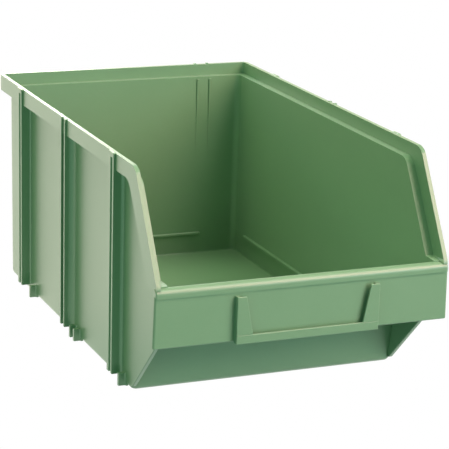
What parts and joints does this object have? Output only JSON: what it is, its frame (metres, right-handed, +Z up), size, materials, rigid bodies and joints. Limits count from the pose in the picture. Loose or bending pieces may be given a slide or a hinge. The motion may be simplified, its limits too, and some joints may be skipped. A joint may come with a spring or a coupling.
{
  "type": "stackable storage bin",
  "caption": "Open-fronted stackable storage bin: ribbed side walls, a stepped stacking rim, a sloping opening, a rounded front lip and a label holder on its front panel.",
  "frame": {"origin": "middle of the base, on the surface the bin stands on", "axes": "+Z up, -Y towards the open front with the label holder, +X to the right as seen from the front"},
  "size_m": [0.213, 0.3548, 0.16],
  "materials": {
    "moulded_plastic": "satin injection-moulded, fine even grain"
  },
  "bodies": {
    "root": {"bead_back": "moulded_plastic", "bead_left": "moulded_plastic", "bead_right": "moulded_plastic", "fin_back_1": "moulded_plastic", "fin_back_2": "moulded_plastic", "fin_middle_a_left": "moulded_plastic", "fin_middle_a_right": "moulded_plastic", "fin_middle_b_left": "moulded_plastic", "fin_middle_b_right": "moulded_plastic", "floor_panel": "moulded_plastic", "foot_front_1_left": "moulded_plastic", "foot_front_1_right": "moulded_plastic", "foot_middle_1_left": "moulded_plastic", "foot_middle_1_right": "moulded_plastic", "foot_middle_2_left": "moulded_plastic", "foot_middle_2_right": "moulded_plastic", "foot_rear_1_left": "moulded_plastic", "foot_rear_1_right": "moulded_plastic", "front_lip": "moulded_plastic", "front_ramp": "moulded_plastic", "front_riser": "moulded_plastic", "label_holder_lip_bottom": "moulded_plastic", "label_holder_lip_left": "moulded_plastic", "label_holder_lip_right": "moulded_plastic", "label_holder_strip_bottom": "moulded_plastic", "label_holder_strip_left": "moulded_plastic", "label_holder_strip_right": "moulded_plastic", "label_panel": "moulded_plastic", "opening_flange_left": "moulded_plastic", "opening_flange_right": "moulded_plastic", "rib_front_left": "moulded_plastic", "rib_front_right": "moulded_plastic", "rib_rear_left": "moulded_plastic", "rib_rear_right": "moulded_plastic", "rim_back": "moulded_plastic", "rim_left": "moulded_plastic", "rim_right": "moulded_plastic", "wall_back": "moulded_plastic", "wall_left": "moulded_plastic", "wall_right": "moulded_plastic"}
  },
  "joints": []
}
